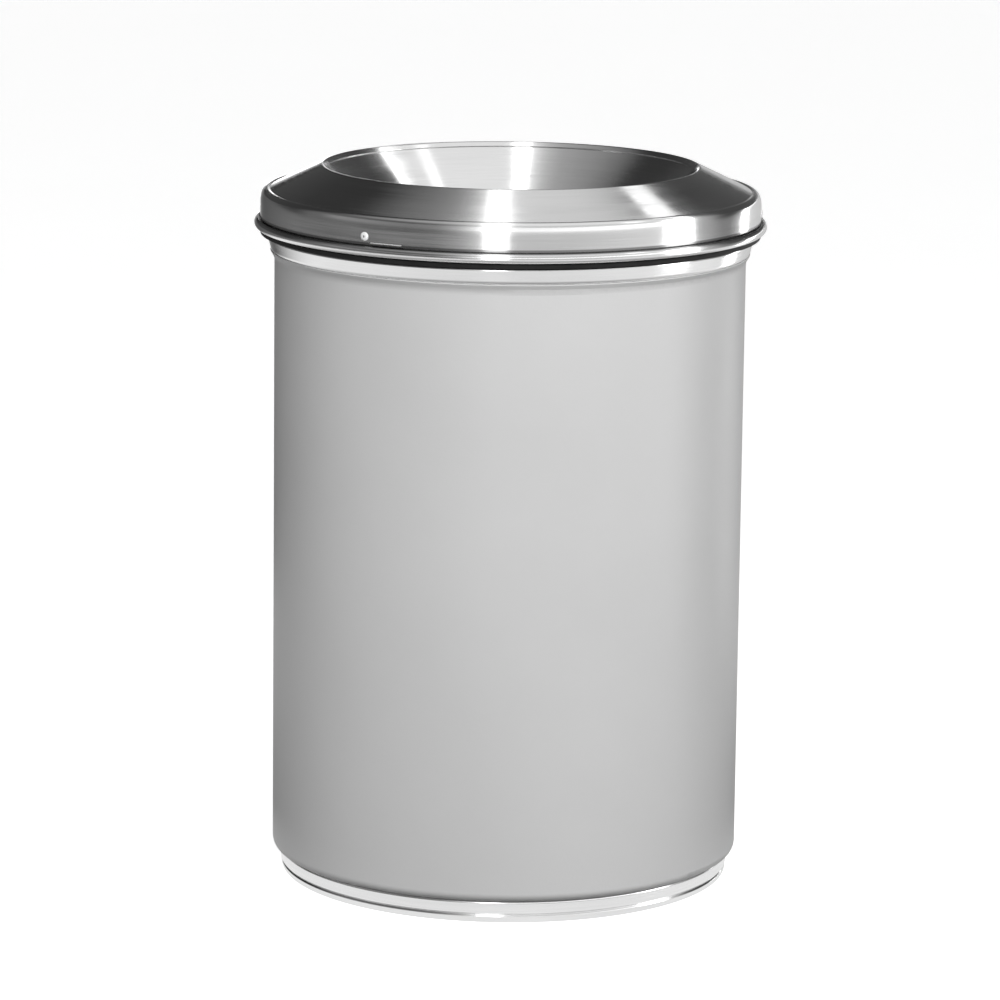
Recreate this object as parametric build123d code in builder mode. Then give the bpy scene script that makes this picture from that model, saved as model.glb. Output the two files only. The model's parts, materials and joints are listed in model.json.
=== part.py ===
"""Self-extinguishing waste receptacle: a sheet-steel drum under a lift-off spun-aluminium head.

Frame: +Z up, origin at the centre of the foot on the floor, front towards -Y. All sizes in millimetres.

Bodies:
  drum  shell, base pan, base ring, collar and the wire in the collar's rim
  seal  the loose rubber ring on the collar's shoulder, which turns on it with the head
  head  cap, funnel, their edge wires, three retaining springs and their blind rivets

Sheet pieces are drawn as the line along the middle of the sheet, then thickened to both sides.
"""

from build123d import *
from math import atan2, cos, radians, sin, tan
import os

# --- sheets and gaps ------------------------------------------------------------------------
steel = 0.8
pan_steel = 0.9
ring_steel = 1.0
aluminium = 1.0
fit = 0.05  # between pieces pressed, rolled or riveted together
ease = 0.3  # between pieces that move past each other

# --- drum -----------------------------------------------------------------------------------
shell_radius = 139.0
shell_bottom = 13.8
flare_bottom = 370.0  # where the shell's wall bends outwards
flare_rise = 4.0
flare_reach = 2.4
flare_round = 7.0
shell_corner = 5.0
shell_turn_in = 127.0  # inner edge of the turned-in bottom
lap_width = 14.0  # side lap, at the back

pan_flange_top = 29.3
pan_rib_radii = (95.0, 45.0)  # raised stiffening rings
pan_rib_rise = 2.5

base_ring_radius = 134.0
base_ring_inner = 124.0
base_ring_crease_depth = 1.3
base_ring_crease_height = 5.2
base_ring_bead_radius = 133.6
foot_inner = 122.0
foot_lip_height = 4.5

collar_sleeve_bottom = 354.0
collar_swell_rise = 1.9  # how far the collar follows its flare beyond the shell's edge
shoulder_radius = 143.5
shoulder_top = 384.0
neck_radius = 141.5
neck_top = 409.2
rim_curl = 2.1

# --- seal -----------------------------------------------------------------------------------
seal_radius = 147.5
seal_thickness = 2.5
seal_lip_radius = 144.6
seal_lip_height = 5.1

# --- head -----------------------------------------------------------------------------------
lip_radius = 151.0  # largest radius of the whole object
lip_height = 390.3  # centre of the wired lip
lip_curl = 3.0
lip_curl_turn = 250  # degrees, from the inside, round the bottom, to the top
joggle_bottom = 391.9
joggle_top = 393.6
skirt_radius = 147.5
skirt_bend = 404.8  # where the skirt starts to lean inwards
shoulder_lean = 1.5
skirt_top = 410.2
skirt_round = 3.2
crease_radius = 141.6
crease_height = 409.6
crest_radius = 110.5  # where the middles of the cone and of the funnel's slope would meet
crest_height = 424.45
crest_round = 1.9
hem_length = 2.2
funnel_slope = radians(45)
funnel_flange = 9.0
throat_radius = 63.5
throat_length = 8.0
throat_curl = 2.0

# --- retaining springs ----------------------------------------------------------------------
spring_count = 3
spring_angle = -34.1  # the first rivet, seen from above, turned from the front towards +X
spring_thickness = 0.5
spring_height = 8.0
spring_tail = 2.2  # degrees of flat base behind the rivet
spring_base = 10.4  # degrees of flat base ahead of the rivet
spring_leaf = 20.0  # degrees of bowed leaf ahead of the base
spring_gap = 0.4  # between the bowed leaf and the neck
foot_start = 1.5  # degrees ahead of the rivet
foot_end = 9.5
foot_reach = 0.9  # how far the foot stands out of the skirt
slit_height = 394.7
slit_width = 1.1
slit_length = 21.4

rivet_height = 398.4
rivet_shank = 1.3
rivet_head_radius = 2.5
rivet_head_height = 0.9
rivet_rim = 0.25
rivet_core = 0.7
rivet_tail = 143.7  # radius at which the blind end stops

# --- derived --------------------------------------------------------------------------------
shell_inside = shell_radius - steel
flare_turn = atan2(flare_reach, flare_rise)
lip_centre = lip_radius - lip_curl
skirt_inside = skirt_radius - aluminium
cone_slope = atan2(crest_height - crease_height, crease_radius - crest_radius)
crest_turn = cone_slope + funnel_slope
spring_angles = [spring_angle + 360 * number / spring_count for number in range(spring_count)]
foot_bottom = slit_height - spring_thickness / 2
strip_radius = skirt_inside - fit - spring_thickness / 2
leaf_radius = neck_radius + spring_gap + spring_thickness / 2

os.makedirs("parts", exist_ok=True)


def outward(angle):
    """Unit vector away from the axis at an angle in degrees from the front, positive towards +X."""
    return Vector(sin(radians(angle)), -cos(radians(angle)), 0)


def wall_plane(radius, angle, height):
    """Plane that faces outwards on a round wall, its own Y axis upwards."""
    centre = outward(angle) * radius + Vector(0, 0, height)
    return Plane(origin=centre, x_dir=outward(angle + 90), z_dir=outward(angle))


def section_plane(angle, height):
    """Upright plane through the axis: X runs outwards at the angle, Y runs up from the height."""
    return Plane(origin=(0, 0, height), x_dir=outward(angle), z_dir=outward(angle - 90))


def under_crest(depth):
    """Corner of the line that runs at a depth below the cap's cone and its turn into the funnel."""
    across = (cos(cone_slope) - cos(funnel_slope)) / sin(crest_turn)
    down = (sin(cone_slope) + sin(funnel_slope)) / sin(crest_turn)
    return crest_radius + depth * across, crest_height - depth * down


# ============================================================================================
# Drum
# ============================================================================================

# Rolled shell with a flared top, a turned-in bottom edge and a lapped seam down the back.
wall = shell_radius - steel / 2
floor = shell_bottom + steel / 2
with BuildPart() as drum_shell:
    with BuildSketch(Plane.XZ):
        with BuildLine():
            FilletPolyline(
                (wall + flare_reach, flare_bottom + flare_rise),
                (wall, flare_bottom),
                (wall, floor),
                (shell_turn_in + steel / 2, floor),
                radius=[flare_round, shell_corner - steel / 2],
            )
            offset(amount=steel / 2, side=Side.BOTH)
        make_face()
    revolve(axis=Axis.Z)
    with BuildSketch(Plane.XY.offset(shell_bottom + shell_corner)):
        with Locations((0, shell_radius)):
            Rectangle(lap_width, 2 * lap_width)
        Circle(shell_radius + steel, mode=Mode.INTERSECT)
        Circle(shell_radius - steel / 2, mode=Mode.SUBTRACT)
    extrude(amount=flare_bottom - flare_round - shell_bottom - shell_corner)
drum_shell.part.label = "drum_shell"
export_step(drum_shell.part, "parts/drum_shell.step")

# Base pan: a flat disc with two raised rings and a flange that stands up inside the shell.
pan_wall = shell_inside - fit - pan_steel / 2
pan_floor = shell_bottom + steel + fit + pan_steel / 2
pan_line = [(pan_wall, pan_flange_top - pan_steel / 2), (pan_wall, pan_floor)]
for rib_radius in pan_rib_radii:
    pan_line.append((rib_radius + 6, pan_floor))
    pan_line.append((rib_radius + 3, pan_floor + pan_rib_rise))
    pan_line.append((rib_radius - 3, pan_floor + pan_rib_rise))
    pan_line.append((rib_radius - 6, pan_floor))
pan_line.append((-pan_steel, pan_floor))
pan_corner = shell_corner - steel - fit - pan_steel / 2
with BuildPart() as drum_base:
    with BuildSketch(Plane.XZ):
        with BuildLine():
            FilletPolyline(*pan_line, radius=[pan_corner] + [1.5] * (len(pan_line) - 3))
            offset(amount=pan_steel / 2, side=Side.BOTH)
        make_face()
        with Locations((-pan_steel, pan_floor)):
            Rectangle(2 * pan_steel, 2 * pan_steel, mode=Mode.SUBTRACT)
    revolve(axis=Axis.Z)
drum_base.part.label = "drum_base"
export_step(drum_base.part, "parts/drum_base.step")

# Base ring: a flange under the shell, a plain wall, a pressed crease, a bead and the foot.
ring_wall = base_ring_radius - ring_steel / 2
ring_top = shell_bottom - fit - ring_steel / 2
bead_wall = base_ring_bead_radius - ring_steel / 2
with BuildPart() as base_ring:
    with BuildSketch(Plane.XZ):
        with BuildLine():
            FilletPolyline(
                (base_ring_inner + ring_steel / 2, ring_top),
                (ring_wall, ring_top),
                (ring_wall, base_ring_crease_height + 1.3),
                (ring_wall - base_ring_crease_depth, base_ring_crease_height),
                (bead_wall, base_ring_crease_height - 1.2),
                (bead_wall, ring_steel / 2),
                (foot_inner + ring_steel / 2, ring_steel / 2),
                (foot_inner + ring_steel / 2, foot_lip_height - ring_steel / 2),
                radius=[1.5, 0.7, 0.6, 0.7, 2.6, 1.5],
            )
            offset(amount=ring_steel / 2, side=Side.BOTH)
        make_face()
    revolve(axis=Axis.Z)
base_ring.part.label = "base_ring"
export_step(base_ring.part, "parts/base_ring.step")

# Collar: a sleeve and a flare inside the shell's, the seal's shoulder, then the neck with its
# edge curled inwards over a wire.
sleeve = shell_inside - fit - steel / 2
collar_bend = flare_bottom + (steel + fit) * tan(flare_turn / 2)
swell_top = flare_bottom + flare_rise + collar_swell_rise
neck = neck_radius - steel / 2
rim_centre = (neck_radius - rim_curl, neck_top - rim_curl)
with BuildPart() as drum_collar:
    with BuildSketch(Plane.XZ):
        with BuildLine():
            FilletPolyline(
                (sleeve, collar_sleeve_bottom + steel / 2),
                (sleeve, collar_bend),
                (sleeve + (swell_top - collar_bend) * tan(flare_turn), swell_top),
                (shoulder_radius - steel / 2, shoulder_top - steel / 2),
                (neck, shoulder_top - steel / 2),
                (neck, rim_centre[1]),
                radius=[flare_round + steel + fit, 5.0, 1.0, 0.5],
            )
            CenterArc(rim_centre, rim_curl - steel / 2, 0, 290)
            offset(amount=steel / 2, side=Side.BOTH)
        make_face()
    revolve(axis=Axis.Z)
drum_collar.part.label = "drum_collar"
export_step(drum_collar.part, "parts/drum_collar.step")

with BuildPart() as rim_wire:
    with BuildSketch(Plane.XZ):
        with Locations(rim_centre):
            Circle(rim_curl - steel - fit)
    revolve(axis=Axis.Z)
rim_wire.part.label = "rim_wire"
export_step(rim_wire.part, "parts/rim_wire.step")

# ============================================================================================
# Seal
# ============================================================================================

# Loose rubber ring of L section: a flange on the shoulder and a lip up the neck.
seal_bottom = shoulder_top + ease
seal_bore = neck_radius + ease
with BuildPart() as rim_seal:
    with BuildSketch(Plane.XZ):
        with BuildLine():
            Polyline(
                (seal_bore, seal_bottom),
                (seal_radius, seal_bottom),
                (seal_radius, seal_bottom + seal_thickness),
                (seal_lip_radius, seal_bottom + seal_thickness),
                (seal_lip_radius, seal_bottom + seal_lip_height),
                (seal_bore, seal_bottom + seal_lip_height),
                close=True,
            )
        make_face()
        fillet(vertices(), radius=0.35)
    revolve(axis=Axis.Z)
rim_seal.part.label = "rim_seal"
export_step(rim_seal.part, "parts/rim_seal.step")

# ============================================================================================
# Head
# ============================================================================================

# Cap: wired lip, joggle, skirt leaning in at its top, crease, cone, and the hem over the crest.
sheet = aluminium / 2
skirt = skirt_radius - sheet
hem = crest_round * tan(crest_turn / 2) + hem_length - sheet
with BuildPart() as head_cap:
    with BuildSketch(Plane.XZ):
        with BuildLine():
            CenterArc((lip_centre, lip_height), lip_curl - sheet, 180, lip_curl_turn)
            FilletPolyline(
                (lip_centre - lip_curl + sheet, lip_height),
                (lip_centre - lip_curl + sheet, joggle_bottom),
                (skirt, joggle_top),
                (skirt, skirt_bend),
                (skirt - shoulder_lean, skirt_top),
                (crease_radius, crease_height),
                (crest_radius, crest_height),
                (crest_radius - hem * cos(funnel_slope), crest_height - hem * sin(funnel_slope)),
                radius=[0.9, 0.9, 16.0, skirt_round, 0.6, crest_round],
            )
            offset(amount=sheet, side=Side.BOTH)
        make_face()
    revolve(axis=Axis.Z)
    for angle in spring_angles:
        with BuildSketch(wall_plane(skirt, angle, rivet_height)):
            Circle(rivet_shank + fit)
        extrude(amount=2 * aluminium, both=True, mode=Mode.SUBTRACT)
        with BuildSketch(wall_plane(skirt, angle + (foot_start + foot_end) / 2, slit_height)):
            Rectangle(slit_length, slit_width)
        extrude(amount=2 * aluminium, both=True, mode=Mode.SUBTRACT)
head_cap.part.label = "head_cap"
export_step(head_cap.part, "parts/head_cap.step")

with BuildPart() as lip_wire:
    with BuildSketch(Plane.XZ):
        with Locations((lip_centre, lip_height)):
            Circle(lip_curl - aluminium - fit)
    revolve(axis=Axis.Z)
lip_wire.part.label = "lip_wire"
export_step(lip_wire.part, "parts/lip_wire.step")

# Funnel: a flange against the cap's cone, the slope, the throat and its edge curled outwards.
roll_radius, roll_height = under_crest(aluminium + fit)
roll_round = crest_round - aluminium - fit
throat = throat_radius + sheet
throat_top = roll_height - (roll_radius - throat) * tan(funnel_slope)
throat_centre = (throat_radius + throat_curl, throat_top - throat_length)
with BuildPart() as funnel:
    with BuildSketch(Plane.XZ):
        with BuildLine():
            FilletPolyline(
                (
                    roll_radius + funnel_flange * cos(cone_slope),
                    roll_height - funnel_flange * sin(cone_slope),
                ),
                (roll_radius, roll_height),
                (throat, throat_top),
                (throat, throat_centre[1]),
                radius=[roll_round, 4.0],
            )
            CenterArc(throat_centre, throat_curl - sheet, 180, 265)
            offset(amount=sheet, side=Side.BOTH)
        make_face()
    revolve(axis=Axis.Z)
funnel.part.label = "funnel"
export_step(funnel.part, "parts/funnel.step")

with BuildPart() as throat_wire:
    with BuildSketch(Plane.XZ):
        with Locations(throat_centre):
            Circle(throat_curl - aluminium - fit)
    revolve(axis=Axis.Z)
throat_wire.part.label = "throat_wire"
export_step(throat_wire.part, "parts/throat_wire.step")

# Retaining springs: a base riveted inside the skirt, a foot through the slit that stops it from
# turning on its rivet, and a leaf bowed inwards that grips the neck.
for number, angle in enumerate(spring_angles, start=1):
    leaf_start = angle + spring_base
    with BuildPart() as retaining_spring:
        with BuildSketch(Plane.XY.offset(foot_bottom)):
            with BuildLine():
                base_line = CenterArc(
                    (0, 0), strip_radius, angle - spring_tail - 90, spring_tail + spring_base
                )
                FilletPolyline(
                    base_line @ 1,
                    outward(leaf_start + 0.55 * spring_leaf) * leaf_radius,
                    outward(leaf_start + spring_leaf) * (strip_radius - 1.2),
                    radius=60.0,
                )
                offset(amount=spring_thickness / 2, side=Side.BOTH)
            make_face()
        extrude(amount=spring_height)
        with BuildSketch(Plane.XY.offset(foot_bottom)):
            Circle(skirt_radius + foot_reach)
            Circle(strip_radius, mode=Mode.SUBTRACT)
            with BuildLine():
                Polyline(
                    (0, 0),
                    outward(angle + foot_start) * 2 * skirt_radius,
                    outward(angle + foot_end) * 2 * skirt_radius,
                    close=True,
                )
            make_face(mode=Mode.INTERSECT)
        extrude(amount=spring_thickness)
        with BuildSketch(wall_plane(strip_radius, angle, rivet_height)):
            Circle(rivet_shank + fit)
        extrude(amount=2 * spring_thickness, both=True, mode=Mode.SUBTRACT)
    retaining_spring.part.label = f"retaining_spring_{number}"
    export_step(retaining_spring.part, f"parts/{retaining_spring.part.label}.step")

# Blind rivets: a domed head outside the skirt, a swelling behind the spring, a hollow core.
head_face = skirt_radius + fit
strip_face = skirt_inside - spring_thickness - 2 * fit
for number, angle in enumerate(spring_angles, start=1):
    with BuildPart() as spring_rivet:
        with BuildSketch(section_plane(angle, rivet_height)):
            with BuildLine():
                dome_edge = (head_face + rivet_rim, rivet_head_radius)
                dome_top = (head_face + rivet_head_height, rivet_core + 0.3)
                ThreePointArc(
                    dome_edge,
                    (head_face + 0.76 * rivet_head_height, 0.72 * rivet_head_radius),
                    dome_top,
                )
                Polyline(
                    dome_top,
                    (head_face + rivet_head_height, rivet_core),
                    (rivet_tail, rivet_core),
                    (rivet_tail + 0.2, rivet_shank + 0.35),
                    (rivet_tail + 1.2, rivet_shank + 0.95),
                    (strip_face, rivet_shank + 0.75),
                    (strip_face, rivet_shank),
                    (head_face, rivet_shank),
                    (head_face, rivet_head_radius),
                    dome_edge,
                )
            make_face()
        revolve(axis=Axis((0, 0, rivet_height), outward(angle)))
    spring_rivet.part.label = f"spring_rivet_{number}"
    export_step(spring_rivet.part, f"parts/{spring_rivet.part.label}.step")

# Mandrel stubs left in the rivets, with their swelled blind ends.
stub = rivet_core - fit
for number, angle in enumerate(spring_angles, start=1):
    with BuildPart() as rivet_mandrel:
        with BuildSketch(section_plane(angle, rivet_height)):
            with BuildLine():
                Polyline(
                    (head_face + 0.7 * rivet_head_height, 0),
                    (head_face + 0.7 * rivet_head_height, stub),
                    (rivet_tail - fit, stub),
                    (rivet_tail - fit, stub + 0.55),
                    (rivet_tail - 0.8, stub + 0.7),
                    (rivet_tail - 1.4, stub + 0.1),
                    (rivet_tail - 1.4, 0),
                    close=True,
                )
            make_face()
        revolve(axis=Axis((0, 0, rivet_height), outward(angle)))
    rivet_mandrel.part.label = f"rivet_mandrel_{number}"
    export_step(rivet_mandrel.part, f"parts/{rivet_mandrel.part.label}.step")
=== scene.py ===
import json
import math

import bpy
import numpy as np
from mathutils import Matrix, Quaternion, Vector


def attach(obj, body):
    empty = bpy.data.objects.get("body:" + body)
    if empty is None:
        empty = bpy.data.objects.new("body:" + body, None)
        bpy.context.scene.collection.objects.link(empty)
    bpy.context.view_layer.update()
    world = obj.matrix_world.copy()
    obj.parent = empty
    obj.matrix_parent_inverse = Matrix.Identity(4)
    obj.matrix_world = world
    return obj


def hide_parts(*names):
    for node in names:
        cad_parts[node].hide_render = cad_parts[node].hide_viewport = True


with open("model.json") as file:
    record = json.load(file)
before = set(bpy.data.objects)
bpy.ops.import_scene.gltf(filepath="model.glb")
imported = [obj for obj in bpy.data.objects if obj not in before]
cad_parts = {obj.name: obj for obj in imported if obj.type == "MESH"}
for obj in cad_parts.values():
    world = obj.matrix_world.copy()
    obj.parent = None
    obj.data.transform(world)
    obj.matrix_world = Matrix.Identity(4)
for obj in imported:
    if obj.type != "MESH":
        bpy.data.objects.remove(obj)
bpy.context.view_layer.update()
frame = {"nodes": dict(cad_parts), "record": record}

MM = 0.001

# ============================================================================================
# Dimensions, in millimetres, as in the CAD
# ============================================================================================
STEEL = 0.8
RING_STEEL = 1.0
ALUMINIUM = 1.0
FIT = 0.05
EASE = 0.3

SHELL_RADIUS = 139.0
SHELL_BOTTOM = 13.8
FLARE_BOTTOM = 370.0
FLARE_RISE = 4.0
FLARE_REACH = 2.4
FLARE_ROUND = 7.0

RING_RADIUS = 134.0
RING_INNER = 124.0
CREASE_DEPTH = 1.3
CREASE_HEIGHT = 5.2
CREASE_ABOVE = 1.3  # how far above and below it the crease runs out
CREASE_BELOW = 1.2
BEAD_RADIUS = 133.6
FOOT_INNER = 122.0
FOOT_LIP = 4.5
RING_BENDS = (1.5, 0.7, 0.6, 0.7, 2.6, 1.5)  # flange, above the crease, crease, below it, bead, foot

COLLAR_BOTTOM = 354.0
SWELL_RISE = 1.9
SHOULDER_RADIUS = 143.5
SHOULDER_TOP = 384.0
NECK_RADIUS = 141.5
NECK_TOP = 409.2
RIM_CURL = 2.1
RIM_CURL_TURN = 290
SWELL_ROUND = 5.0
SHOULDER_ROUND = 1.0
NECK_ROUND = 0.5

SEAL_RADIUS = 147.5
SEAL_THICKNESS = 2.5
SEAL_LIP_RADIUS = 144.6
SEAL_LIP_HEIGHT = 5.1
SEAL_ROUND = 0.35

LIP_RADIUS = 151.0
LIP_HEIGHT = 390.3
LIP_CURL = 3.0
LIP_CURL_TURN = 250
JOGGLE_BOTTOM = 391.9
JOGGLE_TOP = 393.6
JOGGLE_ROUND = 0.9
SKIRT_RADIUS = 147.5
SKIRT_BEND = 404.8  # where the skirt starts to lean inwards
SKIRT_BEND_ROUND = 16.0
SHOULDER_LEAN = 1.5
SKIRT_TOP = 410.2
SKIRT_ROUND = 3.2
CAP_CREASE = (141.6, 409.6)
CAP_CREASE_ROUND = 0.6
CREST = (110.5, 424.45)
CREST_ROUND = 1.9
HEM_LENGTH = 2.2
HEM_TAPER = 2.2
HEM_EDGE = 0.25
FUNNEL_SLOPE = math.radians(45)
FUNNEL_FLANGE = 9.0
THROAT_RADIUS = 63.5
THROAT_LENGTH = 8.0
THROAT_ROUND = 4.0
THROAT_CURL = 2.0
THROAT_CURL_TURN = 265

SPRING_ANGLES = (-34.1, 85.9, 205.9)  # of the rivets, from the front towards +X
FOOT_START = 1.6  # degrees round from the rivet
FOOT_END = 9.4
FOOT_COLUMNS = 24
FOOT_SECTION = (  # out from the skirt, and height
    (-0.3, 394.5), (0.85, 394.55), (0.72, 394.8), (-0.3, 395.22),
)
FOOT_DROP = 0.1  # how much lower its outer edge starts
FOOT_CLIMB = 0.35  # and how far it climbs to its end
SLIT_MIDDLE = 5.5  # degrees round from the rivet
SLIT_LENGTH = 21.4
SLIT_LOW = 394.15
SLIT_HIGH = 395.25

# ============================================================================================
# Lathe work: a sheet's middle line, thickened and turned about the axis
# ============================================================================================
ARC_STEP = math.radians(8)
RUN_STEP = 3.0
COLUMNS = 384
COLUMN_GAP = 0.2  # degrees that the even columns keep from an extra one
EDGE_STEPS = 6  # round the half circle that closes a sheet's edge
SAME_PLACE = 1e-6
RIPPLES = (2, 3, 5, 8, 13)  # waves round the axis
RIPPLE_DRIFT = 0.12


def unit(v):
    return v / np.hypot(*v)


def left_of(v):
    return np.array([-v[1], v[0]])


def turned(v, angle):
    c, s = math.cos(angle), math.sin(angle)
    return np.array([c * v[0] - s * v[1], s * v[0] + c * v[1]])


def straight(a, b):
    """Points and headings from a to b, the last one left to what follows."""
    heading = unit(b - a)
    count = max(1, math.ceil(np.hypot(*(b - a)) / RUN_STEP))
    return [(a + (b - a) * k / count, heading) for k in range(count)]


def folded(points, radii):
    """Points and headings along runs joined by arcs: a radius per corner, 0 for a point on a run."""
    points = [np.array(p, float) for p in points]
    line = []
    start = points[0]
    for a, b, c, radius in zip(points, points[1:], points[2:], radii):
        if radius == 0:
            line += straight(start, b)
            start = b
            continue
        heading, after = unit(b - a), unit(c - b)
        turn = math.atan2(heading[0] * after[1] - heading[1] * after[0], heading @ after)
        side = math.copysign(1, turn)
        reach = radius * math.tan(abs(turn) / 2)
        arc_start = b - heading * reach
        line += straight(start, arc_start)
        centre = arc_start + left_of(heading) * radius * side
        count = max(3, math.ceil(abs(turn) / ARC_STEP))
        for k in range(count):
            now = turned(heading, turn * k / count)
            line.append((centre - left_of(now) * radius * side, now))
        start = b + after * reach
    line += straight(start, points[-1])
    line.append((points[-1], unit(points[-1] - points[-2])))
    return line


def curl(centre, radius, first, sweep):
    """Points and headings along an arc, anticlockwise, angles in degrees."""
    count = math.ceil(math.radians(sweep) / ARC_STEP)
    line = []
    for k in range(count + 1):
        angle = math.radians(first + sweep * k / count)
        out = np.array([math.cos(angle), math.sin(angle)])
        line.append((np.array(centre) + out * radius, left_of(out)))
    return line


def backwards(line):
    return [(point, -heading) for point, heading in reversed(line)]


def thickened(line, half):
    """Closed section of a sheet around its middle line: rows of r, z and the two parts of the normal."""
    rows = []
    for point, heading in line:
        rows.append((*(point + left_of(heading) * half), *left_of(heading)))
    for (point, heading), way in ((line[-1], 1), (line[0], -1)):
        for k in range(1, EDGE_STEPS):
            out = turned(left_of(heading) * way, -math.pi * k / EDGE_STEPS)
            rows.append((*(point + out * half), *out))
        if way == 1:
            for back_point, back_heading in reversed(line):
                out = -left_of(back_heading)
                rows.append((*(back_point + out * half), *out))
    return np.array(rows)


def flattened(rows, end, reach, thickness):
    """The section with its outer face pressed down to a thin edge over the last stretch before its end."""
    r, z = end
    near = np.hypot(rows[:, 0] - r, rows[:, 1] - z)
    share = np.clip(1 - near / reach, 0, 1)
    inward = np.array([-math.sin(FUNNEL_SLOPE), math.cos(FUNNEL_SLOPE)])
    proud = (rows[:, :2] - end) @ inward
    drop = np.maximum(proud + ALUMINIUM / 2 - thickness, 0) * share
    rows[:, :2] -= drop[:, None] * inward
    return rows


def rounded_section(points, radius):
    """Closed section with rounded corners, points anticlockwise as seen with r to the right, z up."""
    middle = (np.array(points[0], float) + points[-1]) / 2
    path = [tuple(middle), *points, tuple(middle)]
    line = folded(path, [radius] * len(points))[:-1]
    return np.array([(*point, *-left_of(heading)) for point, heading in line])


def around(edges=()):
    """Angles of the lathe's columns, in degrees from the front, with one at each edge."""
    even = np.arange(COLUMNS) * 360.0 / COLUMNS
    kept = [a for a in even if all(abs((a - e + 180) % 360 - 180) > COLUMN_GAP for e in edges)]
    return np.array(sorted(kept + [e % 360 for e in edges]))


def unevenness(seed, height, turn, rows):
    """Slight hand-spun unevenness: a few waves round the axis that drift along the section, in mm."""
    rng = np.random.default_rng(seed)
    lift = np.zeros((len(turn), len(rows)))
    for waves in RIPPLES:
        phase = rng.uniform(0, math.tau)
        up = rng.uniform(-RIPPLE_DRIFT, RIPPLE_DRIFT)
        out = rng.uniform(-RIPPLE_DRIFT, RIPPLE_DRIFT)
        drift = phase + up * rows[:, 1] + out * rows[:, 0]
        lift += np.cos(waves * turn[:, None] + drift[None, :]) / waves
    return lift * height


def lathe(name, rows, angles, seed, height, skip=None):
    """A slightly uneven mesh turned from rows of r, z and the normal. skip says which faces to leave out."""
    turn = np.radians(angles)
    r, z, nr, nz = rows.T
    out_x = np.outer(np.sin(turn), np.ones_like(r))
    out_y = np.outer(-np.cos(turn), np.ones_like(r))
    lift = unevenness(seed, height, turn, rows)
    radius = r + lift * nr
    xyz = np.stack([out_x * radius, out_y * radius, z + lift * nz], -1) * MM
    # the ripple tilts the normals against its slopes, round the axis and along the section
    step = (np.roll(turn, -1) - np.roll(turn, 1)) % math.tau
    slope_round = (np.roll(lift, -1, 0) - np.roll(lift, 1, 0)) / (step[:, None] * r[None, :])
    run = np.hypot(np.roll(r, -1) - np.roll(r, 1), np.roll(z, -1) - np.roll(z, 1))
    slope_along = (np.roll(lift, -1, 1) - np.roll(lift, 1, 1)) / run
    tr = (np.roll(r, -1) - np.roll(r, 1)) / run
    tz = (np.roll(z, -1) - np.roll(z, 1)) / run
    normal_r = nr - slope_along * tr
    normal_z = nz - slope_along * tz
    normal = np.stack([
        out_x * normal_r + out_y * slope_round,
        out_y * normal_r - out_x * slope_round,
        normal_z,
    ], -1)
    normal /= np.linalg.norm(normal, axis=-1, keepdims=True)
    columns, points = radius.shape
    i, j = np.meshgrid(np.arange(columns), np.arange(points), indexing="ij")
    a = i * points + j
    b = (i + 1) % columns * points + j
    c = (i + 1) % columns * points + (j + 1) % points
    d = i * points + (j + 1) % points
    faces = np.stack([a, b, c, d], -1)
    extra = []
    if skip is not None:
        gone, extra = skip(i, j, angles, rows)
        faces = faces[~gone]
    faces = faces.reshape(-1, 4)
    area = (r * np.roll(z, -1) - np.roll(r, -1) * z).sum()
    if area < 0:
        faces = faces[:, ::-1]
    mesh = bpy.data.meshes.new(name)
    mesh.from_pydata(xyz.reshape(-1, 3).tolist(), [], faces.tolist() + extra)
    mesh.polygons.foreach_set("use_smooth", np.ones(len(mesh.polygons), bool))
    mesh.normals_split_custom_set_from_vertices(normal.reshape(-1, 3).tolist())
    mesh.update()
    piece = bpy.data.objects.new(name, mesh)
    bpy.context.collection.objects.link(piece)
    return piece


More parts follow.
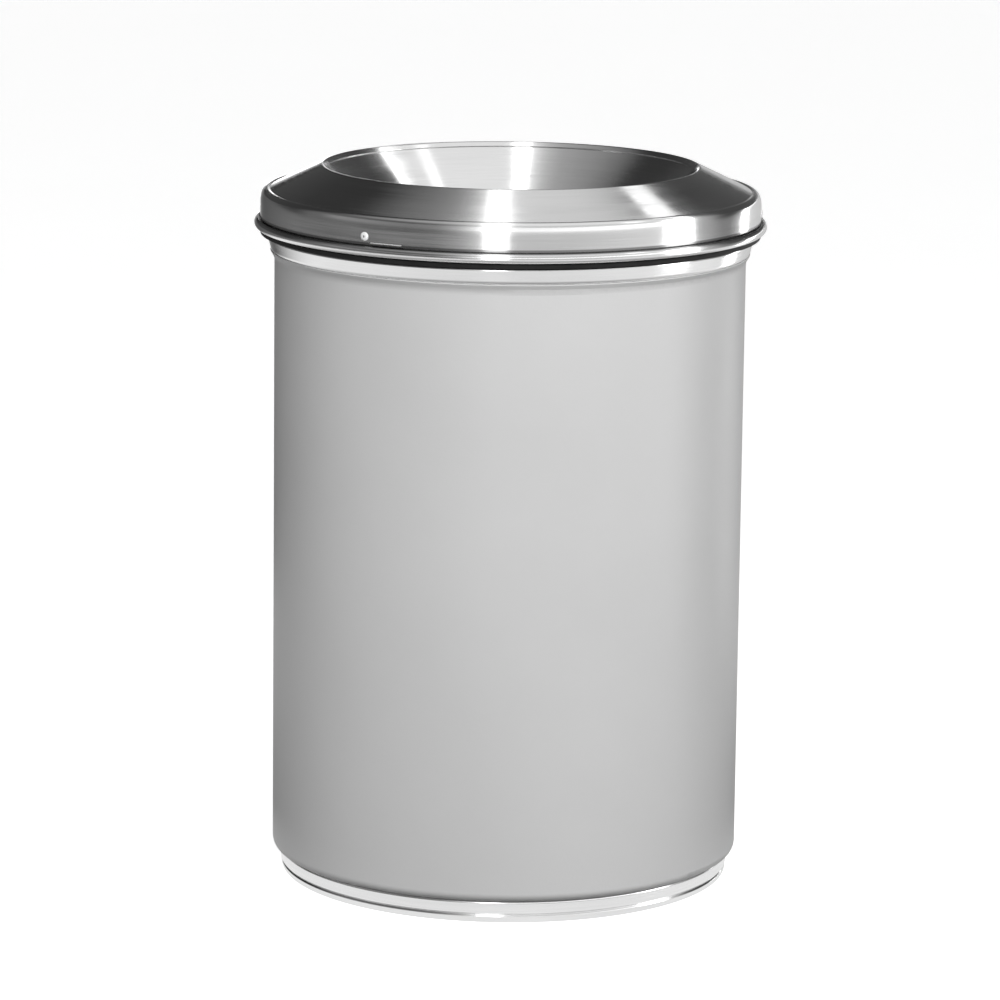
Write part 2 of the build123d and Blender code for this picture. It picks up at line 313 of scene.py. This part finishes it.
# ============================================================================================
# Shader trees
# ============================================================================================
class Tree:
    """Short calls that add nodes to one shader tree. A socket takes a number or another node's output."""

    def __init__(self, owner):
        owner.use_nodes = True
        self.nodes = owner.node_tree.nodes
        self.links = owner.node_tree.links
        self.nodes.clear()

    def add(self, kind, settings=(), **sockets):
        node = self.nodes.new("ShaderNode" + kind)
        for key, value in dict(settings).items():
            setattr(node, key, value)
        for key, value in sockets.items():
            self.set(node.inputs[key.replace("_", " ")], value)
        return node

    def set(self, socket, value):
        if isinstance(value, bpy.types.NodeSocket):
            self.links.new(value, socket)
        elif socket.type == "RGBA" and isinstance(value, (int, float)):
            socket.default_value = (value, value, value, 1)
        else:
            socket.default_value = value

    def math(self, operation, *values):
        node = self.nodes.new("ShaderNodeMath")
        node.operation = operation
        for socket, value in zip(node.inputs, values):
            self.set(socket, value)
        return node.outputs[0]

    def product(self, first, *others):
        for value in others:
            first = self.math("MULTIPLY", first, value)
        return first

    def length(self, a, b):
        return self.math("SQRT", self.math("ADD", self.product(a, a), self.product(b, b)))

    def map(self, value, low, high, to_low, to_high, smooth=False):
        interpolation = "SMOOTHSTEP" if smooth else "LINEAR"
        node = self.add("MapRange", {"interpolation_type": interpolation}, Value=value)
        for index, number in ((1, low), (2, high), (3, to_low), (4, to_high)):
            self.set(node.inputs[index], number)
        return node.outputs[0]

    def mix(self, factor, first, second):
        node = self.nodes.new("ShaderNodeMix")
        for index, value in ((0, factor), (2, first), (3, second)):
            self.set(node.inputs[index], value)
        return node.outputs[0]

    def noise(self, vector, scale, detail=2.0, roughness=0.5, w=None):
        node = self.add(
            "TexNoise",
            {"noise_dimensions": "3D" if w is None else "4D"},
            Vector=vector, Scale=scale, Detail=detail, Roughness=roughness,
        )
        if w is not None:
            self.set(node.inputs["W"], w)
        return node.outputs["Fac"]

    def grey(self, value, tint=(1, 1, 1)):
        """A colour from a brightness, slightly tinted."""
        parts = [self.product(value, t) for t in tint]
        return self.add("CombineColor", Red=parts[0], Green=parts[1], Blue=parts[2]).outputs[0]

    def bump(self, height, distance, normal=None):
        node = self.add("Bump", Strength=1.0, Distance=distance, Height=height)
        if normal is not None:
            self.set(node.inputs["Normal"], normal)
        return node.outputs[0]


def turning(tree):
    """Where a point is on turned work: its place, radius and height, and its angle's cosine and sine."""
    place = tree.add("TexCoord").outputs["Object"]
    parts = tree.add("SeparateXYZ", Vector=place).outputs
    radius = tree.length(parts[0], parts[1])
    cosine = tree.math("DIVIDE", parts[0], radius)
    sine = tree.math("DIVIDE", parts[1], radius)
    return place, radius, parts[2], cosine, sine


def lines(tree, place, pitch, drift, detail):
    """Noise drawn out round the axis: lines a pitch apart, which change slowly along their length."""
    _, radius, height, cosine, sine = place
    vector = tree.add(
        "CombineXYZ",
        X=tree.math("DIVIDE", radius, pitch),
        Y=tree.math("DIVIDE", height, pitch),
        Z=tree.product(cosine, drift),
    ).outputs[0]
    return tree.noise(vector, 1.0, detail, 0.55, w=tree.product(sine, drift))


def new_material(name):
    material = bpy.data.materials.new(name)
    tree = Tree(material)
    shader = tree.add("BsdfPrincipled")
    output = tree.add("OutputMaterial")
    tree.set(output.inputs["Surface"], shader.outputs[0])
    return material, tree, shader


LINE_DEPTH = 0.000002  # metres, as are the pitches of the fine and coarse lines
ALONG_THE_LINES = 0.25  # of a full turn
GROOVE = (0.3922, 0.3955)  # between the wired lip and the skirt, where the metal is painted darker as shade
GROOVE_BLUR = 0.0008
# how much painted shade darkens the groove
PAINTED_GROOVE_SHADE = 0.6


def turned_metal(name, bright, roughness, anisotropy, fine, coarse, groove=None):
    """Bright turned sheet: fine lines round the axis, slow changes of shine, painted shade in a groove."""
    material, tree, shader = new_material(name)
    place = turning(tree)
    fine_lines = lines(tree, place, fine, 3.0, 3.0)
    coarse_lines = lines(tree, place, coarse, 1.2, 1.0)
    patches = tree.noise(place[0], 14.0, 3.0)
    value = tree.map(fine_lines, 0.25, 0.75, bright * 0.93, bright)
    value = tree.product(value, tree.map(patches, 0.3, 0.7, 0.96, 1.02))
    if groove is not None:
        # painted shade: the base colour darkens inside the groove between lip and skirt, where shade falls
        low, high = groove
        inside = tree.product(
            tree.map(place[2], low, low + GROOVE_BLUR, 0, 1, smooth=True),
            tree.map(place[2], high - GROOVE_BLUR, high, 1, 0, smooth=True),
        )
        value = tree.product(value, tree.math("SUBTRACT", 1, tree.product(inside, PAINTED_GROOVE_SHADE)))
    tree.set(shader.inputs["Base Color"], tree.grey(value))
    shine = tree.map(patches, 0.3, 0.7, roughness - 0.02, roughness + 0.03)
    shine = tree.math("ADD", shine, tree.map(fine_lines, 0.2, 0.8, -0.04, 0.04))
    shine = tree.math("ADD", shine, tree.map(coarse_lines, 0.2, 0.8, -0.05, 0.05))
    tree.set(shader.inputs["Roughness"], shine)
    shader.inputs["Metallic"].default_value = 1.0
    shader.inputs["Anisotropic"].default_value = anisotropy
    shader.inputs["Anisotropic Rotation"].default_value = ALONG_THE_LINES
    tangent = tree.add("Tangent", {"direction_type": "RADIAL", "axis": "Z"})
    tree.set(shader.inputs["Tangent"], tangent.outputs[0])
    relief = tree.bump(coarse_lines, LINE_DEPTH * coarse / fine * 0.35)
    relief = tree.bump(fine_lines, LINE_DEPTH, relief)
    tree.set(shader.inputs["Normal"], relief)
    return material


def powder_coat():
    """Smooth grey powder coat: a faint orange peel, slight unevenness and dust."""
    material, tree, shader = new_material("powder_coat")
    place = tree.add("TexCoord").outputs["Object"]
    peel = tree.noise(place, 420.0, 2.0)
    cloud = tree.noise(place, 9.0, 4.0, 0.6)
    dust = tree.noise(place, 2600.0, 1.0)
    value = tree.map(cloud, 0.3, 0.7, 0.585, 0.61)
    value = tree.product(value, tree.map(dust, 0.70, 0.78, 1.0, 0.93, smooth=True))
    tree.set(shader.inputs["Base Color"], tree.grey(value))
    tree.set(shader.inputs["Roughness"], tree.map(cloud, 0.3, 0.7, 0.36, 0.43))
    tree.set(shader.inputs["Normal"], tree.bump(peel, 0.00005))
    return material


def rubber():
    """Black moulded rubber, dull, with a trace of bloom."""
    material, tree, shader = new_material("black_rubber")
    place = tree.add("TexCoord").outputs["Object"]
    grain = tree.noise(place, 1500.0, 3.0)
    bloom = tree.noise(place, 35.0, 4.0)
    value = tree.map(bloom, 0.35, 0.75, 0.008, 0.02)
    shader.inputs["Specular IOR Level"].default_value = 0.25
    tree.set(shader.inputs["Base Color"], tree.grey(value))
    tree.set(shader.inputs["Roughness"], tree.map(grain, 0.3, 0.7, 0.55, 0.7))
    tree.set(shader.inputs["Normal"], tree.bump(grain, 0.00003))
    return material


def zinc():
    """Zinc-coated sheet with soft spangle."""
    material, tree, shader = new_material("zinc_steel")
    place = tree.add("TexCoord").outputs["Object"]
    cells = tree.add("TexVoronoi", Vector=place, Scale=95.0).outputs["Color"]
    spangle = tree.add("SeparateColor", Color=cells).outputs[0]
    cloud = tree.noise(place, 20.0, 4.0)
    value = tree.math("ADD", tree.map(spangle, 0, 1, 0.42, 0.52), tree.map(cloud, 0.3, 0.7, -0.03, 0.03))
    tree.set(shader.inputs["Base Color"], tree.grey(value, (0.98, 1.0, 1.02)))
    tree.set(shader.inputs["Roughness"], tree.map(spangle, 0, 1, 0.36, 0.5))
    shader.inputs["Metallic"].default_value = 1.0
    tree.set(shader.inputs["Normal"], tree.bump(cloud, 0.0003))
    return material


def plain_metal(name, bright, roughness, metallic=1.0):
    """Small plain parts: drawn wire, spring strip and rivets, with handling marks."""
    material, tree, shader = new_material(name)
    place = tree.add("TexCoord").outputs["Object"]
    marks = tree.noise(place, 900.0, 4.0, 0.6)
    tree.set(shader.inputs["Base Color"], tree.grey(tree.map(marks, 0.3, 0.7, bright * 0.92, bright)))
    tree.set(shader.inputs["Roughness"], tree.map(marks, 0.3, 0.7, roughness - 0.04, roughness + 0.06))
    shader.inputs["Metallic"].default_value = metallic
    tree.set(shader.inputs["Normal"], tree.bump(marks, 0.00001))
    return material


MATERIALS = {
    "powder_coat": powder_coat(),
    "zinc_steel": zinc(),
    "bright_steel": turned_metal(
        "bright_steel", bright=0.94, roughness=0.16, anisotropy=0.5, fine=0.0008, coarse=0.003,
    ),
    "wire": plain_metal("drawn_wire", 0.5, 0.35),
    "spring_steel": plain_metal("spring_strip", 0.6, 0.28),
    "spun_aluminium": turned_metal(
        "spun_aluminium", bright=0.90, roughness=0.17, anisotropy=0.85, fine=0.0006, coarse=0.004,
        groove=GROOVE,
    ),
    # the rivets' near-white, barely metallic colour is a painted highlight, standing in for the glint on
    # their domes
    "rivet_aluminium": plain_metal("rivet_aluminium", 0.98, 0.3, 0.15),
    "black_rubber": rubber(),
}


def coat(piece, material):
    piece.data.materials.clear()
    piece.data.materials.append(material)


slots = {entry["node"]: entry["material_slot"] for entry in frame["record"]["subparts"]}
for name, node in frame["nodes"].items():
    coat(node, MATERIALS[slots[name]])

# ============================================================================================
# Spun, rolled and moulded pieces, in place of the CAD's coarser meshes, and the springs' feet
# ============================================================================================
def turned_piece(name, node, body, rows, seed, height, angles=around(), skip=None):
    """A lathe piece in a CAD node's place, on its body. height is that of its unevenness, in mm."""
    piece = lathe(name, rows, angles, seed, height, skip)
    coat(piece, MATERIALS[slots[node]])
    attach(piece, body)
    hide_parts(node)


def base_ring_rows():
    half = RING_STEEL / 2
    wall, bead = RING_RADIUS - half, BEAD_RADIUS - half
    foot = FOOT_INNER + half
    top = SHELL_BOTTOM - FIT - half
    line = folded(
        [
            (RING_INNER + half, top), (wall, top), (wall, CREASE_HEIGHT + CREASE_ABOVE),
            (wall - CREASE_DEPTH, CREASE_HEIGHT), (bead, CREASE_HEIGHT - CREASE_BELOW),
            (bead, half), (foot, half), (foot, FOOT_LIP - half),
        ],
        RING_BENDS,
    )
    return thickened(line, half)


def collar_rows():
    half = STEEL / 2
    sleeve = SHELL_RADIUS - STEEL - FIT - half
    turn = math.atan2(FLARE_REACH, FLARE_RISE)
    bend = FLARE_BOTTOM + (STEEL + FIT) * math.tan(turn / 2)
    swell_top = FLARE_BOTTOM + FLARE_RISE + SWELL_RISE
    neck = NECK_RADIUS - half
    centre = (NECK_RADIUS - RIM_CURL, NECK_TOP - RIM_CURL)
    line = folded(
        [
            (sleeve, COLLAR_BOTTOM + half), (sleeve, bend),
            (sleeve + (swell_top - bend) * math.tan(turn), swell_top),
            (SHOULDER_RADIUS - half, SHOULDER_TOP - half), (neck, SHOULDER_TOP - half), (neck, centre[1]),
        ],
        [FLARE_ROUND + STEEL + FIT, SWELL_ROUND, SHOULDER_ROUND, NECK_ROUND],
    )
    return thickened(line[:-1] + curl(centre, RIM_CURL - half, 0, RIM_CURL_TURN), half)


def seal_rows():
    bottom, bore = SHOULDER_TOP + EASE, NECK_RADIUS + EASE
    edge, top = bottom + SEAL_THICKNESS, bottom + SEAL_LIP_HEIGHT
    return rounded_section(
        [
            (bore, bottom), (SEAL_RADIUS, bottom), (SEAL_RADIUS, edge),
            (SEAL_LIP_RADIUS, edge), (SEAL_LIP_RADIUS, top), (bore, top),
        ],
        SEAL_ROUND,
    )


def cap_rows():
    half = ALUMINIUM / 2
    centre = (LIP_RADIUS - LIP_CURL, LIP_HEIGHT)
    inner = centre[0] - LIP_CURL + half
    skirt = SKIRT_RADIUS - half
    slope = math.atan2(CREST[1] - CAP_CREASE[1], CAP_CREASE[0] - CREST[0])
    hem = CREST_ROUND * math.tan((slope + FUNNEL_SLOPE) / 2) + HEM_LENGTH - half
    line = folded(
        [
            (inner, LIP_HEIGHT), (inner, JOGGLE_BOTTOM), (skirt, JOGGLE_TOP), (skirt, SLIT_LOW),
            (skirt, SLIT_HIGH), (skirt, SKIRT_BEND), (skirt - SHOULDER_LEAN, SKIRT_TOP), CAP_CREASE, CREST,
            (CREST[0] - hem * math.cos(FUNNEL_SLOPE), CREST[1] - hem * math.sin(FUNNEL_SLOPE)),
        ],
        [JOGGLE_ROUND, JOGGLE_ROUND, 0, 0, SKIRT_BEND_ROUND, SKIRT_ROUND, CAP_CREASE_ROUND, CREST_ROUND],
    )
    rows = thickened(backwards(curl(centre, LIP_CURL - half, 180, LIP_CURL_TURN))[:-1] + line, half)
    return flattened(rows, line[-1][0], HEM_TAPER, HEM_EDGE)


def funnel_rows():
    half = ALUMINIUM / 2
    slope = math.atan2(CREST[1] - CAP_CREASE[1], CAP_CREASE[0] - CREST[0])
    turn = slope + FUNNEL_SLOPE
    depth = ALUMINIUM + FIT
    roll = (
        CREST[0] + depth * (math.cos(slope) - math.cos(FUNNEL_SLOPE)) / math.sin(turn),
        CREST[1] - depth * (math.sin(slope) + math.sin(FUNNEL_SLOPE)) / math.sin(turn),
    )
    throat = THROAT_RADIUS + half
    throat_top = roll[1] - (roll[0] - throat) * math.tan(FUNNEL_SLOPE)
    centre = (THROAT_RADIUS + THROAT_CURL, throat_top - THROAT_LENGTH)
    line = folded(
        [
            (roll[0] + FUNNEL_FLANGE * math.cos(slope), roll[1] - FUNNEL_FLANGE * math.sin(slope)),
            roll, (throat, throat_top), (throat, centre[1]),
        ],
        [CREST_ROUND - depth, THROAT_ROUND],
    )
    return thickened(line[:-1] + curl(centre, THROAT_CURL - half, 180, THROAT_CURL_TURN), half)


SLIT_HALF = math.degrees(math.asin(SLIT_LENGTH / 2 / SKIRT_RADIUS))
SLITS = [(angle + SLIT_MIDDLE - SLIT_HALF, angle + SLIT_MIDDLE + SLIT_HALF) for angle in SPRING_ANGLES]
SLIT_ENDS = [end for slit in SLITS for end in slit]


def slits(i, j, angles, rows):
    """Faces of the skirt that the slits take out, and the small walls that join its two sides there."""
    z = rows[:, 1]
    after = (j + 1) % len(rows)
    low, high = np.minimum(z[j], z[after]), np.maximum(z[j], z[after])
    in_slit = np.zeros(len(angles), bool)
    for start, end in SLITS:
        in_slit |= ((angles - start + SAME_PLACE) % 360) < end - start - SAME_PLACE
    gone = in_slit[i] & (low > SLIT_LOW - SAME_PLACE) & (high < SLIT_HIGH + SAME_PLACE)
    sill, lintel = [np.flatnonzero(abs(z - level) < SAME_PLACE) for level in (SLIT_LOW, SLIT_HIGH)]
    walls = []
    for column in np.flatnonzero(in_slit):
        following = (column + 1) % len(angles)
        here, beyond = column * len(rows), following * len(rows)
        for first, second in (sill, lintel):
            walls.append([here + first, beyond + first, beyond + second, here + second])
        for side, neighbour in ((here, column - 1), (beyond, following)):
            if not in_slit[neighbour]:
                walls.append([side + sill[0], side + lintel[0], side + lintel[1], side + sill[1]])
    return gone, [[int(v) for v in wall] for wall in walls]


def foot_edge(name, angle):
    """The spring's foot where it stands out of its slit: its bent upper face, which catches the light and
    wears the rivets' near-white colour as a painted highlight.
    """
    points, faces = [], []
    for k in range(FOOT_COLUMNS + 1):
        share = k / FOOT_COLUMNS
        turn = math.radians(angle + FOOT_START + (FOOT_END - FOOT_START) * share)
        for out, z in FOOT_SECTION:
            r = SKIRT_RADIUS + out
            if out > 0:
                z += FOOT_CLIMB * share - FOOT_DROP
            points.append((math.sin(turn) * r * MM, -math.cos(turn) * r * MM, z * MM))
    size = len(FOOT_SECTION)
    for k in range(FOOT_COLUMNS):
        for m in range(size):
            n = (m + 1) % size
            faces.append((k * size + m, (k + 1) * size + m, (k + 1) * size + n, k * size + n))
    faces += [tuple(range(size))[::-1], tuple(FOOT_COLUMNS * size + m for m in range(size))]
    mesh = bpy.data.meshes.new(name)
    mesh.from_pydata(points, [], faces)
    mesh.update()
    piece = bpy.data.objects.new(name, mesh)
    bpy.context.collection.objects.link(piece)
    # painted highlight: the foot takes the rivets' near-white colour instead of that of the spring strip
    coat(piece, MATERIALS["rivet_aluminium"])
    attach(piece, "head")


for number, angle in enumerate(SPRING_ANGLES, start=1):
    foot_edge(f"spring_foot_{number}", angle)
turned_piece("base_ring_turned", "base_ring", "drum", base_ring_rows(), seed=3, height=0.05)
turned_piece("collar_turned", "drum_collar", "drum", collar_rows(), seed=5, height=0.05)
turned_piece("seal_moulded", "rim_seal", "seal", seal_rows(), seed=7, height=0.06)
turned_piece("cap_spun", "head_cap", "head", cap_rows(), seed=11, height=0.06,
             angles=around(SLIT_ENDS), skip=slits)
turned_piece("funnel_spun", "funnel", "head", funnel_rows(), seed=13, height=0.08)

# ============================================================================================
# Stage, light and camera
# ============================================================================================
FLOOR_HALF = 30.0
FLOOR_SINK = 0.0005  # the white floor lies this far under the one that only the metal mirrors
NEAR_FLOOR_RADIUS = 0.9
NEAR_FLOOR_CORNERS = 96
VIEW_LEVEL = 0.981  # cosine of the elevation from which the front is seen
# brightness of the walls, by the azimuth in degrees of an upright surface that mirrors them to the front
WALLS_END = 90
WALLS = (
    (-90, 0.26), (-62, 0.15), (-24, 0.095), (-17, 0.115), (-12, 0.24), (-7, 0.55), (4, 0.56), (14, 0.58),
    (24, 0.64), (36, 0.74), (49, 0.44), (57, 0.22), (68, 0.26), (82, 0.34), (90, 0.40),
)
# soft boxes: the azimuths that show them, blur, lowest and highest z, nearest and furthest y, strength
WINDOWS = (
    (-6.0, -0.6, 0.5, -0.55, 1.1, -1.2, 0.9, 1.8),
    (37.6, 46.2, 0.5, -0.55, 0.72, -1.2, 0.9, 2.6),
    (39.0, 46.0, 1.5, 0.80, 1.1, 0.25, 0.9, 0.6),
    (27.5, 32.5, 1.0, 0.80, 1.1, -1.2, 0.12, 1.2),
)
HEIGHT_BLUR = 0.06
DEPTH_BLUR = 0.1
LAMP_AIM = 0.21  # half the can's height


def floor_piece(name, points, height, material):
    mesh = bpy.data.meshes.new(name)
    mesh.from_pydata([(x, y, height) for x, y in points], [], [tuple(range(len(points)))])
    piece = bpy.data.objects.new(name, mesh)
    bpy.context.collection.objects.link(piece)
    coat(piece, material)
    piece.visible_diffuse = False
    return piece


floor_white, tree, shader = new_material("floor_white")
tone = tree.noise(tree.add("TexCoord").outputs["Object"], 3.0, 2.0)
tree.set(shader.inputs["Base Color"], tree.grey(tree.map(tone, 0.3, 0.7, 0.88, 0.9)))
shader.inputs["Roughness"].default_value = 0.9
shader.inputs["Emission Color"].default_value = (1, 1, 1, 1)
shader.inputs["Emission Strength"].default_value = 0.72

# what the metal mirrors of the floor: pale beside the foot, darker round it, pale again further out
floor_glow, tree, shader = new_material("floor_glow")
spot = tree.add("SeparateXYZ", Vector=tree.add("TexCoord").outputs["Object"]).outputs
away = tree.length(spot[0], spot[1])
beside_foot = tree.map(away, 0.19, 0.23, 0.84, 0.0, smooth=True)
further_out = tree.map(away, 0.26, 0.75, 0.3, 0.85, smooth=True)
shader.inputs["Base Color"].default_value = (0, 0, 0, 1)
shader.inputs["Specular IOR Level"].default_value = 0
shader.inputs["Emission Color"].default_value = (1, 1, 1, 1)
tree.set(shader.inputs["Emission Strength"], tree.math("MAXIMUM", beside_foot, further_out))

corners = [(x * FLOOR_HALF, y * FLOOR_HALF) for x, y in ((-1, -1), (1, -1), (1, 1), (-1, 1))]
floor = floor_piece("floor", corners, -FLOOR_SINK, floor_white)
floor.visible_glossy = False
turns = [math.tau * k / NEAR_FLOOR_CORNERS for k in range(NEAR_FLOOR_CORNERS)]
rim = [(NEAR_FLOOR_RADIUS * math.cos(turn), NEAR_FLOOR_RADIUS * math.sin(turn)) for turn in turns]
near_floor = floor_piece("near_floor", rim, 0.0, floor_glow)
near_floor.visible_camera = False
near_floor.visible_shadow = False


def window(tree, facing, y, z, shape):
    """How far a direction lies inside a soft box, 0 to 1, times the box's strength."""
    left, right, side_blur, low, high, nearest, furthest, strength = shape
    return tree.product(
        tree.map(facing, left - side_blur, left + side_blur, 0, 1, smooth=True),
        tree.map(facing, right - side_blur, right + side_blur, 1, 0, smooth=True),
        tree.map(z, low - HEIGHT_BLUR, low + HEIGHT_BLUR, 0, 1, smooth=True),
        tree.map(z, high - HEIGHT_BLUR, high + HEIGHT_BLUR, 1, 0, smooth=True),
        tree.map(y, nearest - DEPTH_BLUR, nearest + DEPTH_BLUR, 0, 1, smooth=True),
        tree.map(y, furthest - DEPTH_BLUR, furthest + DEPTH_BLUR, 1, 0, smooth=True),
        strength,
    )


def mirrored_room(tree):
    """Brightness of the room that the metal mirrors, by direction."""
    x, y, z = tree.add("SeparateXYZ", Vector=tree.add("TexCoord").outputs["Generated"]).outputs
    # behind the object, low down, the room repeats its front half
    low_down = tree.map(z, 0.02, 0.18, 1.0, 0.0, smooth=True)
    folded_back = tree.math("MINIMUM", y, tree.math("SUBTRACT", 0.9, y))
    y = tree.math("ADD", y, tree.product(low_down, tree.math("SUBTRACT", folded_back, y)))
    facing = tree.math("DEGREES", tree.math("ARCTAN2", x, tree.math("SUBTRACT", VIEW_LEVEL, y)))
    walls = tree.add("ValToRGB", Fac=tree.map(facing, -WALLS_END, WALLS_END, 0, 1))
    ramp = walls.color_ramp
    while len(ramp.elements) < len(WALLS):
        ramp.elements.new(0.5)
    for element, (angle, value) in zip(ramp.elements, WALLS):
        element.position = (angle + WALLS_END) / (2 * WALLS_END)
        element.color = (value, value, value, 1)
    light = tree.add("SeparateColor", Color=walls.outputs[0]).outputs[0]
    # a pale band over the horizon in front, and a dark one behind
    pale = tree.product(
        tree.map(y, -0.05, 0.2, 1.0, 0.0, smooth=True),
        tree.map(z, 0.16, 0.24, 0, 1, smooth=True),
        tree.map(z, 0.40, 0.50, 1, 0, smooth=True),
        1.4,
    )
    light = tree.product(light, tree.math("ADD", 1, pale))
    dark = tree.product(
        tree.map(y, 0.2, 0.5, 0.0, 0.75, smooth=True),
        tree.map(z, 0.0, 0.08, 0, 1, smooth=True),
        tree.map(z, 0.68, 0.82, 1, 0, smooth=True),
    )
    light = tree.product(light, tree.math("SUBTRACT", 1, dark))
    # a pale ceiling, and the floor beyond the near one, which turns pale downwards
    light = tree.math("ADD", light, tree.map(z, 0.7, 1.0, 0.0, 0.3, smooth=True))
    light = tree.math("MAXIMUM", light, tree.map(z, -0.42, -0.2, 0.95, 0.0, smooth=True))
    # the soft boxes, fainter far behind
    behind = tree.map(y, 0.62, 0.75, 1.0, 0.12, smooth=True)
    for shape in WINDOWS:
        light = tree.math("ADD", light, tree.product(window(tree, facing, y, z, shape), behind))
    return light, z


def studio():
    """The studio: the room that the metal mirrors, the soft light on the paint, and the white backdrop."""
    world = bpy.data.worlds.new("studio")
    bpy.context.scene.world = world
    tree = Tree(world)
    mirrored, z = mirrored_room(tree)
    soft = tree.map(z, -0.5, 0.5, 0.03, 0.16, smooth=True)
    path = tree.add("LightPath").outputs
    shown = tree.mix(path["Is Diffuse Ray"], mirrored, soft)
    shown = tree.mix(path["Is Camera Ray"], shown, 1.0)
    background = tree.add("Background", Color=tree.grey(shown), Strength=1.0)
    output = tree.add("OutputWorld")
    tree.set(output.inputs["Surface"], background.outputs[0])


studio()


def softbox(name, azimuth, elevation, distance, size, power):
    """A lamp aimed at the can's middle, by its azimuth from the front, elevation and distance."""
    light = bpy.data.lights.new(name, "AREA")
    light.shape = "RECTANGLE"
    light.size, light.size_y = size
    light.energy = power
    lamp = bpy.data.objects.new(name, light)
    bpy.context.collection.objects.link(lamp)
    a, e = math.radians(azimuth), math.radians(elevation)
    away = Vector((math.sin(a) * math.cos(e), -math.cos(a) * math.cos(e), math.sin(e)))
    lamp.location = Vector((0, 0, LAMP_AIM)) + away * distance
    lamp.rotation_mode = "QUATERNION"
    lamp.rotation_quaternion = away.to_track_quat("Z", "Y")
    lamp.visible_glossy = False


softbox("key", azimuth=8, elevation=30, distance=1.9, size=(1.1, 1.0), power=33)
softbox("left", azimuth=-80, elevation=6, distance=1.8, size=(0.8, 1.0), power=5.6)
softbox("right", azimuth=85, elevation=6, distance=1.8, size=(0.8, 1.0), power=4.4)

# the photo's view: almost level, from a little above and far off
CAMERA_DISTANCE = 2.990
CAMERA_HEIGHT = 0.8085
CAMERA_SIDE = -0.00436
CAMERA_PITCH = math.radians(11.07)
CAMERA_ROLL = math.radians(0.666)
SENSOR_WIDTH = 36.0
FOCAL_LENGTH = 184.176
camera_data = bpy.data.cameras.new("camera")
camera_data.sensor_width = SENSOR_WIDTH
camera_data.lens = FOCAL_LENGTH
camera_data.clip_end = 100.0
camera = bpy.data.objects.new("camera", camera_data)
bpy.context.collection.objects.link(camera)
camera.location = (CAMERA_SIDE, -CAMERA_DISTANCE, CAMERA_HEIGHT)
look = Vector((0, math.cos(CAMERA_PITCH), -math.sin(CAMERA_PITCH)))
camera.rotation_mode = "QUATERNION"
camera.rotation_quaternion = look.to_track_quat("-Z", "Y")
camera.rotation_quaternion @= Quaternion((0, 0, 1), CAMERA_ROLL)
bpy.context.scene.camera = camera

bpy.context.scene.view_settings.view_transform = "Standard"
